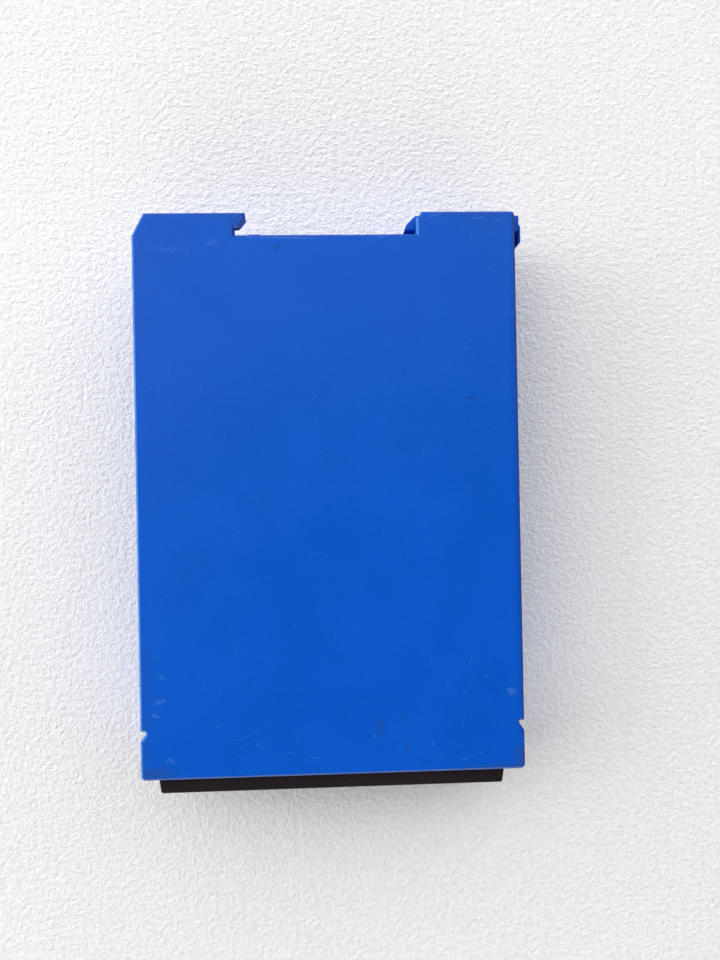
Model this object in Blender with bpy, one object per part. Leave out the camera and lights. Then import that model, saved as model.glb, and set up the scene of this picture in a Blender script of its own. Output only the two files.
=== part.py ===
"""A battery pack in a slim housing for a 35 mm mounting rail, lying on its flat side.

X runs across the rail, Y from the front face to the rail and Z across the module's width.
The origin is the middle of the outer face of the case. All sizes are in metres.
"""

import math

import bmesh
import bpy
from mathutils import Matrix, Vector

# Housing
MODULE_WIDTH = 0.0225
BODY_HEIGHT = 0.075
BODY_DEPTH = 0.110
WALL = 0.0018
GAP = 0.0003
HALF_X = BODY_HEIGHT / 2
HALF_Y = BODY_DEPTH / 2
MID_Z = MODULE_WIDTH / 2
COVER_Z = MODULE_WIDTH - WALL
SEAM_Z = COVER_Z - GAP
INNER_X = HALF_X - WALL
FRONT_RADIUS = 0.0009
REAR_RADIUS = 0.0007
REAR_CHAMFER_X = 0.0023
REAR_CHAMFER_Y = 0.0044
NOTCH_FRONT = 0.0075
NOTCH_REAR = 0.0095
NOTCH_DEPTH = 0.00105
NOTCH_FACET = 0.0006
NOTCH_CORNER = 0.00037
MOUTH_END_Y = -0.0490
EDGE_CHAMFER = 0.00045
SMALL_CHAMFER = 0.0002
SHARP_ANGLE = 30

# How far a cutter reaches past what it cuts, and a joined shape into what it joins
OVERCUT = 0.005
BITE = 0.0002

# Rail recess, hook and foot block. The hook's and the block's corners go from the recess outwards
RAIL_LIP = 0.0010
SEAT_Y = 0.05075
SEAT_RISE = 0.00015
FLOOR_Y = SEAT_Y - SEAT_RISE
HOOK_UNDER_Y = SEAT_Y + RAIL_LIP + 0.0002
HOOK_CORNERS = [(-0.0168, 0.05195), (-0.0160, 0.05285), (-0.0154, 0.05355), (-0.0156, HALF_Y)]
HOOK_RELIEF_X = -0.0195
SLOT_END_X = -0.0176
PAD_X = (-0.0149, -0.0125)
SEAT_X = (-0.0149, 0.0155)
BLOCK_X = 0.0180
BLOCK_CORNERS = [(0.0180, 0.0538), (0.0185, 0.0541), (0.0191, HALF_Y)]
CELL_ROOM_Y = 0.0473
CHANNEL_Y = 0.0488

# Inside the case
ABOVE_FLOOR = (WALL, MODULE_WIDTH + OVERCUT)
CORE_X = (-HALF_X + WALL, HOOK_RELIEF_X - WALL)
CORE_Y = (CELL_ROOM_Y + WALL, HALF_Y - WALL)
CORE_SLOPE_X = -0.0341
CORE_SLOPE_Y = 0.0501
PEG_PLACES = [(-0.0280, 0.0512), (-0.0359, -0.0520), (0.0359, -0.0520)]
PEG_RADIUS = 0.0006
PEG_HOLE = 0.0009
PEG_LENGTH = 0.0040
BOSS_RADIUS = 0.0018
LEDGE_X = 0.0325
LEDGE_Y = (-0.0480, -0.0300)
RIB_X = 0.0346
RIB_Y = (-0.0440, -0.0300)
RIB_HEIGHT = 0.0020

# Air slots in both narrow sides
VENT_COUNT = 10
VENT_PITCH = 0.006
VENT_FIRST_Y = -0.0190
VENT_HALF = 0.0010
VENT_Z = (0.0055, 0.0170)

# Sliding foot and its spring
FOOT_Z = (0.0023, 0.0202)
FOOT_FRONT_Y = CHANNEL_Y + GAP
FOOT_REAR_Y = 0.0549
FOOT_TIP_X = 0.0158
FOOT_END_X = 0.0392
FOOT_STEP = 0.0003
FOOT_STEP_Y = 0.0528
FOOT_SLOT_Y = 0.0516
FOOT_LIP = 0.00055
FOOT_LIP_Y = 0.0495
FOOT_HEEL_X = 0.0380
FOOT_HEEL_Y = 0.0487
WINDOW_X = (0.0205, 0.0343)
WINDOW_Y = (0.0499, 0.0534)
FOOT_RAMP = (0.0004, 0.0018)
FOOT_CENTRE = (0.0275, 0.0516, MID_Z)
SPRING_POST_X = (0.0320, 0.0340)
SPRING_POST_TOP = 0.0182
GUIDE_POST_X = (0.0246, 0.0270)
GUIDE_POST_TOP = 0.0086
GUIDE_POST_HANGS_TO = 0.0140
SPRING_RADIUS = 0.00135
SPRING_WIRE = 0.0002
SPRING_TURNS = 8
SPRING_STEPS = 10

# Cells and the frames that hold them
CELL_COUNT = 4
CELL_RADIUS = 0.0091
CELL_HALF = 0.0325
CELL_PITCH = 0.0185
LAST_CELL_Y = 0.0381
CELL_EDGE = 0.0005
CELL_CAP = 0.0008
CELL_CAP_RADIUS = 0.0045
CELL_GROOVE = 0.0045
CELL_SIDES = 32
FRAME_X = (0.0285, 0.0340)
FRAME_WEB_X = 0.0328
FRAME_Z = (0.0021, 0.0204)
FRAME_ENDS = (-0.0268, 0.0470)
CONTACT_RADIUS = 0.0055
TAB_X = (0.0345, 0.0348)
TAB_HALF_Z = 0.0040
TAB_HALF_Y = 0.0048
TAB_DIMPLE = 0.0035
INSULATOR_X = (0.0351, 0.0354)
LEAD_X = 0.03495
LEAD_RADIUS = 0.0005

# Courses of the leads: first Y from the tab's middle and Z, then whole places on the right-hand side
LOW_COURSE = (
    [(0.0, 0.0067), (-0.0006, 0.0048), (-0.0020, 0.0036)],
    [(LEAD_X, -0.0250, 0.0036), (LEAD_X, -0.0264, 0.0041), (0.0347, -0.0274, 0.0056),
     (0.0342, -0.0281, 0.0074), (0.0337, -0.0295, 0.0080), (0.0333, -0.0306, 0.0076),
     (0.0332, -0.0310, 0.0068)],
)
HIGH_COURSE = (
    [(0.0, 0.0158), (-0.0006, 0.0172), (-0.0020, 0.0183)],
    [(LEAD_X, -0.0262, 0.0183), (0.0342, -0.0277, 0.0178), (0.0325, -0.0287, 0.0160),
     (0.0305, -0.0296, 0.0130), (0.0297, -0.0303, 0.0100), (0.0295, -0.0306, 0.0068)],
)

# Thermistor between two cells
THERMISTOR_HALF = 0.0030
THERMISTOR_RADIUS = 0.0009
THERMISTOR_Z = 0.0186

# Circuit board
BOARD_HALF_X = 0.0337
BOARD_Y = (-0.0505, -0.0282)
BOARD_Z = (0.0048, 0.0064)
ON_BOARD = BOARD_Z[1] + GAP

# Front panel
FRONT_Y = -0.05835
PANEL_MID_X = -0.0004
PANEL_X = 0.0342
PANEL_TAPER = 0.00045
PANEL_Z = (0.0022, 0.0203)
PANEL_BACK_Y = -0.0510
PANEL_FACE = 0.0018
PANEL_WALL = 0.0015
PANEL_RIM_Y = -0.0450
SNAP_THICKNESS = 0.0014
SNAP_BITE = 0.0007
SNAP_Y = (-0.0485, -0.0482, -0.0465)
SNAP_Z = (0.0080, 0.0145)
STRIP_X = (0.0040, 0.0320)
STRIP_Z = (0.0161, 0.0182)
STRIP_DEPTH = 0.0010
CONTROL_Z = 0.0125
CONTROL_SINK = 0.0004

# Terminal plug
POLES = 4
POLE_PITCH = 0.00508
PLUG_MID_X = -0.0210
PLUG_X = 0.0105
PLUG_Z = (0.0072, 0.0178)
PLUG_FRONT_Y = FRONT_Y + GAP
PLUG_STEP_Y = -0.0466
PLUG_CENTRE_Y = -0.0481
PLUG_TAIL_X = 0.0094
PLUG_TAIL_Z = (0.0086, 0.0164)
PLUG_TAIL_Y = -0.0385
WIRE_Z = 0.0096
WIRE_HALF = 0.0017
POLE_ROOM_Y = -0.0490
CLAMP_Y = (-0.0530, -0.0493)
CLAMP_CENTRE_Y = -0.0511
SCREW_Z = 0.0148
SCREW_Y = (-0.0562, -0.0494)
SCREW_RECESS = 0.0018
SCREW_HEAD = 0.0015
SCREW_HEAD_LENGTH = 0.0016
SCREW_SHANK = 0.0010
SCREW_SLOT = 0.0003
SCREW_SLOT_DEPTH = 0.0006
SCREW_SLOT_REACH = 0.0020

# Socket on the board that the plug pushes into
HEADER_Y = (-0.0460, -0.0362)
HEADER_TOP = 0.0180
HEADER_BACK_Y = -0.0380
PIN_HALF = 0.0005
PIN_REACH_Y = -0.0448
PIN_BEND_Y = -0.0350

# Test button and its switch
BUTTON_X = -0.0050
BUTTON_HOLE = 0.0028
BUTTON_RADIUS = 0.0025
BUTTON_FLANGE = 0.0037
BUTTON_FLANGE_Y = FRONT_Y + PANEL_FACE + GAP
BUTTON_FLANGE_DEPTH = 0.0010
BUTTON_STEM = 0.0012
BUTTON_STEM_Y = -0.0506
BUTTON_SWITCH_HALF = 0.0030
BUTTON_SWITCH_Y = (-0.0490, -0.0450)
BUTTON_SWITCH_TOP = 0.0155
PLUNGER_Y = (-0.0498, -0.0488)

# Light pipes and the lamps behind them
PIPE_X = 0.0012
PIPE_Z = (0.0094, 0.0156)
PIPE_HOLE = 0.0018
PIPE_RADIUS = 0.0015
PIPE_END_Y = -0.0512
PIPE_FLANGE = 0.0021
PIPE_FLANGE_DEPTH = 0.0008
LAMP_Y = (-0.0508, -0.0470)
LAMP_RIM = 0.0019
LAMP_RIM_Y = (-0.0478, -0.0468)
LAMP_LEG_HALF = 0.0009
LAMP_LEG_Y = (-0.0472, -0.0456)
LAMP_LEG_DEPTH = 0.0006

# Fuse and its socket
FUSE_X = (0.0060, 0.0169)
FUSE_Z = (0.0106, 0.0144)
FUSE_BACK_Y = -0.0494
FUSE_ROOM_Y = -0.0550
FUSE_SIDE = 0.0006
FUSE_BLADE = 0.0028
FUSE_BLADE_Y = (-0.0547, -0.0416)
FUSE_LINK_Y = (-0.0545, -0.0535)
FUSE_METAL_HALF = 0.0004
FUSE_SLOT_HALF = 0.0007
FUSE_SOCKET_Y = (-0.0488, -0.0385)
FUSE_SOCKET_TOP = 0.0160
FUSE_SLOT_Y = (-0.0500, -0.0412)

# Mode switch
SWITCH_X = (0.0205, 0.0315)
SWITCH_Y = (-0.0556, -0.0460)
SWITCH_TOP = 0.0165
SWITCH_SLOT_X = (0.0213, 0.0307)
SWITCH_SLOT_HALF = 0.0019
SWITCH_ROOM_Y = (-0.0600, -0.0520)
SWITCH_ROOM_HALF = 0.0023
SLIDER_X = (0.0217, 0.0263)
SLIDER_Y = (-0.0554, -0.0523)
SLIDER_HALF = 0.0020
KNOB_X = (0.0222, 0.0258)
KNOB_END_Y = -0.0552
KNOB_HALF = 0.0015

# Larger parts that stand on the board
INDUCTOR_X = (0.0060, 0.0160)
INDUCTOR_Y = (-0.0375, -0.0290)
INDUCTOR_CORNER = 0.0015
INDUCTOR_TOP = 0.0120
CAPACITOR_Y = (-0.0403, -0.0324)
CAPACITOR_RADIUS = 0.0037
CAPACITOR_TOP = 0.0177
CHIP_X = (-0.0255, -0.0185)
CHIP_Y = (-0.0342, -0.0292)
CHIP_TOP = 0.0078
TRANSISTOR_X = (0.0208, 0.0262)
TRANSISTOR_Y = (-0.0440, -0.0365)
TRANSISTOR_DEPTH = 0.0060
TRANSISTOR_TOP = 0.0090
TRANSISTOR_TAB_X = (0.0196, 0.0210)
TRANSISTOR_TAB_INSET = 0.0008
TRANSISTOR_TAB_TOP = 0.0074
CONNECTOR_X = (0.0283, 0.0333)
CONNECTOR_Y = (-0.0440, -0.0335)
CONNECTOR_WALL = 0.0008
CONNECTOR_FLOOR = 0.0087
CONNECTOR_TOP = 0.0125


def clear_scene():
    for item in list(bpy.data.objects):
        bpy.data.objects.remove(item, do_unlink=True)


def material(name, colour, roughness, metallic=0.0):
    made = bpy.data.materials.new(name)
    made.use_nodes = True
    shader = made.node_tree.nodes["Principled BSDF"]
    shader.inputs["Base Color"].default_value = (*colour, 1.0)
    shader.inputs["Roughness"].default_value = roughness
    shader.inputs["Metallic"].default_value = metallic
    return made


def around(middle, half):
    return (middle - half, middle + half)


def box(x, y, z):
    """A block between two values on each axis."""
    def draw(mesh):
        made = bmesh.ops.create_cube(mesh, size=1.0)["verts"]
        low = Vector((x[0], y[0], z[0]))
        high = Vector((x[1], y[1], z[1]))
        bmesh.ops.scale(mesh, vec=high - low, verts=made)
        bmesh.ops.translate(mesh, vec=(low + high) / 2, verts=made)
    return draw


def inset(outline, distance):
    """The outline, listed anticlockwise, moved inwards by a distance."""
    moved = []
    for index, point in enumerate(outline):
        here = Vector(point)
        before = (here - Vector(outline[index - 1])).normalized()
        after = (Vector(outline[(index + 1) % len(outline)]) - here).normalized()
        inward = Vector((-before.y - after.y, before.x + after.x))
        moved.append(here + inward * distance / (1 + before.dot(after)))
    return moved


def prism(outline, z, low_chamfer=0.0, high_chamfer=0.0):
    """An outline in X and Y, extruded between two heights, with its end edges chamfered at 45 degrees."""
    levels = [(low_chamfer, z[0]), (high_chamfer, z[1])]
    if low_chamfer:
        levels.insert(1, (0.0, z[0] + low_chamfer))
    if high_chamfer:
        levels.insert(-1, (0.0, z[1] - high_chamfer))

    def draw(mesh):
        rings = []
        for distance, height in levels:
            ring = inset(outline, distance)
            rings.append([mesh.verts.new((point[0], point[1], height)) for point in ring])
        mesh.faces.new(rings[0])
        mesh.faces.new(rings[-1])
        for lower, upper in zip(rings, rings[1:]):
            for index in range(len(outline)):
                pair = (lower[index - 1], lower[index])
                mesh.faces.new((*pair, upper[index], upper[index - 1]))
    return draw


def rod(start, end, radius, sides=24):
    """A round bar between two points."""
    def draw(mesh):
        first = Vector(start)
        along = Vector(end) - first
        place = Matrix.Translation(first + along / 2)
        turn = along.to_track_quat("Z", "Y").to_matrix().to_4x4()
        bmesh.ops.create_cone(
            mesh,
            cap_ends=True,
            segments=sides,
            radius1=radius,
            radius2=radius,
            depth=along.length,
            matrix=place @ turn,
        )
    return draw


def mesh_of(name, shapes, origin):
    drawing = bmesh.new()
    for draw in shapes:
        draw(drawing)
    bmesh.ops.translate(drawing, vec=-origin, verts=drawing.verts)
    bmesh.ops.recalc_face_normals(drawing, faces=drawing.faces)
    mesh = bpy.data.meshes.new(name)
    drawing.to_mesh(mesh)
    drawing.free()
    return mesh


def helper(target, kind, shapes):
    """A hidden shape that a Boolean joins to its target or cuts from it."""
    name = target.name + "_" + kind.lower()
    tool = bpy.data.objects.new(name, mesh_of(name, shapes, Vector((0, 0, 0))))
    bpy.context.scene.collection.objects.link(tool)
    tool.hide_render = True
    tool.display_type = "WIRE"
    join = target.modifiers.new(kind.lower(), "BOOLEAN")
    join.operation = kind
    join.solver = "EXACT"
    join.use_self = len(shapes) > 1
    join.object = tool


def piece(name, finish, shape, joined=(), cut=(), origin=(0, 0, 0), parent=None):
    """One sub-part: a first shape, the shapes joined to it and the shapes cut from it."""
    centre = Vector(origin)
    made = bpy.data.objects.new(name, mesh_of(name, [shape], centre))
    bpy.context.scene.collection.objects.link(made)
    made.data.materials.append(finish)
    made.data.shade_smooth()
    made.data.set_sharp_from_angle(angle=math.radians(SHARP_ANGLE))
    made.location = centre
    if joined:
        helper(made, "UNION", list(joined))
    if cut:
        helper(made, "DIFFERENCE", list(cut))
    if parent:
        made.parent = parent
        made.location = centre - parent.location
    return made


def arc(centre, radius, start, end, steps=4):
    angles = [math.radians(start + (end - start) * i / steps) for i in range(steps + 1)]
    return [(centre[0] + radius * math.cos(a), centre[1] + radius * math.sin(a)) for a in angles]


def pry_notch():
    """The notch in the right-hand edge, from front to rear, as X inward from the edge and Y."""
    front = -HALF_Y + NOTCH_FRONT
    rear = -HALF_Y + NOTCH_REAR
    deep = arc((NOTCH_DEPTH - NOTCH_CORNER, rear - NOTCH_CORNER), NOTCH_CORNER, -20, 90, 3)
    return [(0.0, front)] + deep + [(0.0, rear)]


def side_outline():
    """The outline that both flat sides share, with the hook, the rail recess and the foot's block."""
    front = -HALF_Y + FRONT_RADIUS
    points = arc((-HALF_X + FRONT_RADIUS, front), FRONT_RADIUS, 180, 270)
    points += arc((HALF_X - FRONT_RADIUS, front), FRONT_RADIUS, 270, 360)
    points += [(HALF_X - inward, y) for inward, y in pry_notch()]
    points += arc((HALF_X - REAR_RADIUS, HALF_Y - REAR_RADIUS), REAR_RADIUS, 0, 90, 3)
    points += BLOCK_CORNERS[::-1]
    points += [(BLOCK_X, FLOOR_Y), (SLOT_END_X, FLOOR_Y), (SLOT_END_X, HOOK_UNDER_Y)]
    points += HOOK_CORNERS
    points += [(-HALF_X + REAR_CHAMFER_X, HALF_Y), (-HALF_X, HALF_Y - REAR_CHAMFER_Y)]
    points += [(-HALF_X + inward, y) for inward, y in reversed(pry_notch())]
    return points


def rail_pad(z):
    """The low pad beside the hook on which the rail's edge rests."""
    return box(PAD_X, (FLOOR_Y - EDGE_CHAMFER, SEAT_Y), z)


def inner_room():
    """The space for the cells and the board, with a narrower mouth at the front."""
    front = -HALF_Y - OVERCUT
    low = PANEL_MID_X - PANEL_X - GAP
    high = PANEL_MID_X + PANEL_X + GAP
    left = [(-INNER_X, MOUTH_END_Y), (low, MOUTH_END_Y), (low, front)]
    right = [(high, front), (high, MOUTH_END_Y), (INNER_X, MOUTH_END_Y)]
    return prism(left + right + [(INNER_X, CELL_ROOM_Y), (-INNER_X, CELL_ROOM_Y)], ABOVE_FLOOR)


def rear_core():
    """The hollow in the block beside the hook."""
    low = [(CORE_X[0], CORE_Y[0]), (CORE_X[1], CORE_Y[0]), (CORE_X[1], CORE_Y[1])]
    return prism(low + [(CORE_SLOPE_X, CORE_Y[1]), (CORE_X[0], CORE_SLOPE_Y)], ABOVE_FLOOR)


def vents():
    slots = []
    for side in (-1, 1):
        span = sorted((side * (INNER_X - GAP), side * (HALF_X + OVERCUT)))
        for index in range(VENT_COUNT):
            y = VENT_FIRST_Y + index * VENT_PITCH
            slots.append(box(span, (y - VENT_HALF, y + VENT_HALF), VENT_Z))
    return slots


def case_body(blue):
    beyond = HALF_Y + OVERCUT
    cuts = [inner_room(), rear_core()]
    cuts.append(box((HOOK_RELIEF_X, SEAT_X[0] + OVERCUT), (FLOOR_Y, beyond), ABOVE_FLOOR))
    cuts.append(box((BLOCK_X - GAP, HALF_X + OVERCUT), (CHANNEL_Y, beyond), ABOVE_FLOOR))
    shell = prism(side_outline(), (0, SEAM_Z), low_chamfer=EDGE_CHAMFER)
    made = piece("case_body", blue, shell, (), cuts + vents())
    low = WALL - BITE
    rests = [box(SEAT_X, (FLOOR_Y - EDGE_CHAMFER, SEAT_Y), (low, SEAM_Z - BITE))]
    rests.append(rail_pad((EDGE_CHAMFER, WALL)))
    rests.append(box(SPRING_POST_X, (WINDOW_Y[0] + GAP, WINDOW_Y[1] - GAP), (low, SPRING_POST_TOP)))
    rests.append(box(GUIDE_POST_X, (WINDOW_Y[0] + GAP, WINDOW_Y[1] - GAP), (low, GUIDE_POST_TOP)))
    for side in (-1, 1):
        span = sorted((side * (INNER_X + BITE), side * LEDGE_X))
        rests.append(box(span, LEDGE_Y, (low, BOARD_Z[0] - GAP)))
    x, y = PEG_PLACES[0]
    rests.append(rod((x, y, low), (x, y, SEAM_Z - BITE), BOSS_RADIUS))
    helper(made, "UNION", rests)
    holes = []
    for x, y in PEG_PLACES:
        top = SEAM_Z + OVERCUT
        holes.append(rod((x, y, COVER_Z - PEG_LENGTH - GAP), (x, y, top), PEG_HOLE, 16))
    helper(made, "DIFFERENCE", holes)
    return made


def notch_facet(side):
    """The slope that runs from the cover's face down into one pry notch."""
    def draw(mesh):
        inside = HALF_X - NOTCH_DEPTH
        outside = HALF_X + OVERCUT
        drop = NOTCH_FACET * (outside - inside) / NOTCH_DEPTH
        top = MODULE_WIDTH + OVERCUT
        section = [(inside, top), (inside, MODULE_WIDTH), (outside, MODULE_WIDTH - drop), (outside, top)]
        corners = []
        for y in (-HALF_Y + NOTCH_FRONT - GAP, -HALF_Y + NOTCH_REAR - GAP):
            corners += [mesh.verts.new((side * x, y, z)) for x, z in section]
        bmesh.ops.convex_hull(mesh, input=corners)
    return draw


def side_cover(blue):
    high = COVER_Z + BITE
    adds = []
    for x, y in PEG_PLACES:
        adds.append(rod((x, y, COVER_Z - PEG_LENGTH), (x, y, high), PEG_RADIUS, 16))
    adds.append(box(GUIDE_POST_X, (WINDOW_Y[0] + GAP, WINDOW_Y[1] - GAP), (GUIDE_POST_HANGS_TO, high)))
    for side in (-1, 1):
        span = sorted((side * RIB_X, side * (INNER_X - GAP)))
        adds.append(box(span, RIB_Y, (COVER_Z - RIB_HEIGHT, high)))
    adds.append(rail_pad((COVER_Z + GAP / 3, MODULE_WIDTH - EDGE_CHAMFER)))
    plate = prism(side_outline(), (COVER_Z, MODULE_WIDTH), high_chamfer=EDGE_CHAMFER)
    return piece("side_cover", blue, plate, adds, [notch_facet(-1), notch_facet(1)])


def foot_outline():
    """The foot from above: catch, straight front side, release end with its slot, and rear side."""
    catch_y = HOOK_UNDER_Y
    wall_x = BLOCK_X
    slot_x = HALF_X + GAP
    lip_x = FOOT_END_X - FOOT_LIP
    step_x = FOOT_END_X - FOOT_STEP
    front = [(FOOT_TIP_X, catch_y), (wall_x, catch_y), (wall_x, FOOT_FRONT_Y), (slot_x, FOOT_FRONT_Y)]
    slot = [(slot_x, FOOT_SLOT_Y), (lip_x, FOOT_SLOT_Y), (lip_x, FOOT_LIP_Y)]
    end = [(FOOT_HEEL_X + FOOT_STEP, FOOT_HEEL_Y), (FOOT_END_X, FOOT_LIP_Y), (FOOT_END_X, FOOT_STEP_Y)]
    rear = [(step_x, FOOT_STEP_Y + FOOT_STEP), (step_x, FOOT_REAR_Y)]
    catch = [(wall_x, FOOT_REAR_Y), (FOOT_TIP_X + FOOT_RAMP[0], FOOT_REAR_Y - FOOT_RAMP[1])]
    return front + slot + end + rear + catch


def din_foot(blue):
    foot = prism(foot_outline(), FOOT_Z, SMALL_CHAMFER, SMALL_CHAMFER)
    window = box(WINDOW_X, WINDOW_Y, (0, MODULE_WIDTH))
    return piece("din_foot", blue, foot, cut=[window], origin=FOOT_CENTRE)


def tube(name, points, radius, finish, resolution=2):
    """A round wire along a list of points, with closed ends."""
    path = bpy.data.curves.new(name, "CURVE")
    path.dimensions = "3D"
    path.bevel_depth = radius
    path.bevel_resolution = resolution
    path.use_fill_caps = True
    spline = path.splines.new("POLY")
    spline.points.add(len(points) - 1)
    for point, place in zip(spline.points, points):
        point.co = (*place, 1.0)
    path.materials.append(finish)
    made = bpy.data.objects.new(name, path)
    bpy.context.scene.collection.objects.link(made)
    return made


def foot_spring(steel):
    start = WINDOW_X[0] + GAP + SPRING_WIRE
    length = SPRING_POST_X[0] - GAP - SPRING_WIRE - start
    middle_y = (WINDOW_Y[0] + WINDOW_Y[1]) / 2
    points = []
    for step in range(SPRING_TURNS * SPRING_STEPS + 1):
        angle = 2 * math.pi * step / SPRING_STEPS
        x = start + length * step / (SPRING_TURNS * SPRING_STEPS)
        y = middle_y + SPRING_RADIUS * math.cos(angle)
        points.append((x, y, MID_Z + SPRING_RADIUS * math.sin(angle)))
    return tube("foot_spring", points, SPRING_WIRE, steel, 1)


def panel_outline():
    nose = PANEL_X - PANEL_TAPER
    half = [(nose - GAP, FRONT_Y), (nose, FRONT_Y + GAP), (PANEL_X, -HALF_Y), (PANEL_X, PANEL_BACK_Y)]
    left = [(PANEL_MID_X - x, y) for x, y in reversed(half)]
    return left + [(PANEL_MID_X + x, y) for x, y in half]


def snap_arm(side):
    """A springy arm whose wedge catches behind the mouth of the case."""
    base_y = PANEL_BACK_Y - BITE
    arm = [(PANEL_X - SNAP_THICKNESS, base_y), (PANEL_X, base_y), (PANEL_X, SNAP_Y[0])]
    arm += [(PANEL_X + SNAP_BITE, SNAP_Y[1]), (PANEL_X - BITE, SNAP_Y[2])]
    arm.append((PANEL_X - SNAP_THICKNESS, SNAP_Y[2]))
    return prism([(PANEL_MID_X + side * x, y) for x, y in arm], SNAP_Z)


def front_panel(black):
    face = (FRONT_Y - OVERCUT, FRONT_Y + PANEL_FACE + OVERCUT / 2)
    inner = (PANEL_MID_X - PANEL_X + PANEL_WALL, PANEL_MID_X + PANEL_X - PANEL_WALL)
    inner_z = (PANEL_Z[0] + PANEL_WALL, PANEL_Z[1] - PANEL_WALL)
    cuts = [box(inner, (FRONT_Y + PANEL_FACE, PANEL_RIM_Y), inner_z)]
    plug = (PLUG_MID_X - PLUG_X - GAP, PLUG_MID_X + PLUG_X + GAP)
    cuts.append(box(plug, face, (PLUG_Z[0] - GAP, PLUG_Z[1] + GAP)))
    cuts.append(box((FUSE_X[0] - GAP, FUSE_X[1] + GAP), face, (FUSE_Z[0] - GAP, FUSE_Z[1] + GAP)))
    cuts.append(box(SWITCH_SLOT_X, face, around(CONTROL_Z, SWITCH_SLOT_HALF)))
    cuts.append(rod((BUTTON_X, face[0], CONTROL_Z), (BUTTON_X, face[1], CONTROL_Z), BUTTON_HOLE, 32))
    for z in PIPE_Z:
        cuts.append(rod((PIPE_X, face[0], z), (PIPE_X, face[1], z), PIPE_HOLE))
    cuts.append(box(STRIP_X, (face[0], FRONT_Y + STRIP_DEPTH), STRIP_Z))
    shell = prism(panel_outline(), PANEL_Z, SMALL_CHAMFER, SMALL_CHAMFER)
    made = piece("front_panel", black, shell, (), cuts)
    helper(made, "UNION", [snap_arm(-1), snap_arm(1)])
    return made


def marking_strip(white):
    x = (STRIP_X[0] + GAP, STRIP_X[1] - GAP)
    y = (FRONT_Y + GAP / 3, FRONT_Y + STRIP_DEPTH - GAP)
    return piece("marking_strip", white, box(x, y, (STRIP_Z[0] + GAP, STRIP_Z[1] - GAP)))


def cell_rows():
    return [LAST_CELL_Y - index * CELL_PITCH for index in range(CELL_COUNT)]


def turned(profile, centre, sides):
    """A profile of X and radius, from axis to axis, spun about a line along X."""
    def draw(mesh):
        x, y, z = centre
        chain = [mesh.verts.new((x + along, y, z + radius)) for along, radius in profile]
        edges = [mesh.edges.new(pair) for pair in zip(chain, chain[1:])]
        bmesh.ops.spin(mesh, geom=chain + edges, cent=centre, axis=(1, 0, 0),
                       angle=2 * math.pi, steps=sides, use_merge=True)
        bmesh.ops.remove_doubles(mesh, verts=mesh.verts, dist=1e-6)
    return draw


def cell_profile():
    """A cell with its raised positive end at +X and the crimp groove near it."""
    shoulder = CELL_HALF - CELL_CAP
    groove = CELL_HALF - CELL_GROOVE
    inner = CELL_RADIUS - CELL_EDGE
    points = [(-CELL_HALF, 0), (-CELL_HALF, inner), (-CELL_HALF + CELL_EDGE, CELL_RADIUS)]
    points += [(groove - CELL_EDGE, CELL_RADIUS), (groove, inner), (groove + CELL_EDGE, CELL_RADIUS)]
    points += [(shoulder - CELL_EDGE, CELL_RADIUS), (shoulder, inner), (shoulder, CELL_CAP_RADIUS)]
    return points + [(CELL_HALF, CELL_CAP_RADIUS), (CELL_HALF, 0)]


def cells(wrap):
    """Round cells side by side, each with its positive end on alternate sides."""
    for index, y in enumerate(cell_rows()):
        plus = -1 if index % 2 == 0 else 1
        profile = [(plus * x, radius) for x, radius in cell_profile()]
        piece(f"cell_{index + 1}", wrap, turned(profile, (0, y, MID_Z), CELL_SIDES))


def cell_frames(plastic):
    for name, side in (("cell_frame_left", -1), ("cell_frame_right", 1)):
        x = sorted((side * FRAME_X[0], side * FRAME_X[1]))
        cuts = []
        for y in cell_rows():
            inside = (side * (FRAME_X[0] - OVERCUT), y, MID_Z)
            cuts.append(rod(inside, (side * FRAME_WEB_X, y, MID_Z), CELL_RADIUS + GAP, 40))
        made = piece(name, plastic, box(x, FRAME_ENDS, FRAME_Z), (), cuts)
        holes = []
        for y in cell_rows():
            ends = ((side * (FRAME_WEB_X - OVERCUT), y, MID_Z), (side * (FRAME_X[1] + OVERCUT), y, MID_Z))
            holes.append(rod(*ends, CONTACT_RADIUS, 24))
        helper(made, "DIFFERENCE", holes)


def tabs(nickel):
    """Thin welded straps that join the cells in series."""
    rows = cell_rows()
    layout = [("tab_plus", -1, rows[:1]), ("tab_link_1", 1, rows[:2]), ("tab_link_2", -1, rows[1:3])]
    layout += [("tab_link_3", 1, rows[2:]), ("tab_minus", -1, rows[3:])]
    for name, side, joined_rows in layout:
        x = sorted((side * TAB_X[0], side * TAB_X[1]))
        y = (min(joined_rows) - TAB_HALF_Y, max(joined_rows) + TAB_HALF_Y)
        dimples = []
        for row in joined_rows:
            ends = ((side * (CELL_HALF + GAP), row, MID_Z), (side * (TAB_X[0] + BITE / 2), row, MID_Z))
            dimples.append(rod(*ends, TAB_DIMPLE, 20))
        piece(name, nickel, box(x, y, (MID_Z - TAB_HALF_Z, MID_Z + TAB_HALF_Z)), dimples)


def insulators(paper):
    for name, side in (("insulator_left", -1), ("insulator_right", 1)):
        x = sorted((side * INSULATOR_X[0], side * INSULATOR_X[1]))
        piece(name, paper, box(x, FRAME_ENDS, (MID_Z - TAB_HALF_Z, MID_Z + TAB_HALF_Z)))


def lead(name, side, start_y, course, finish):
    """A wire from the edge of a tab, along the case and onto the board."""
    near_tab, to_board = course
    route = [(LEAD_X, start_y + offset, z) for offset, z in near_tab] + to_board
    tube(name, [(side * x, y, z) for x, y, z in route], LEAD_RADIUS, finish)


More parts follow.
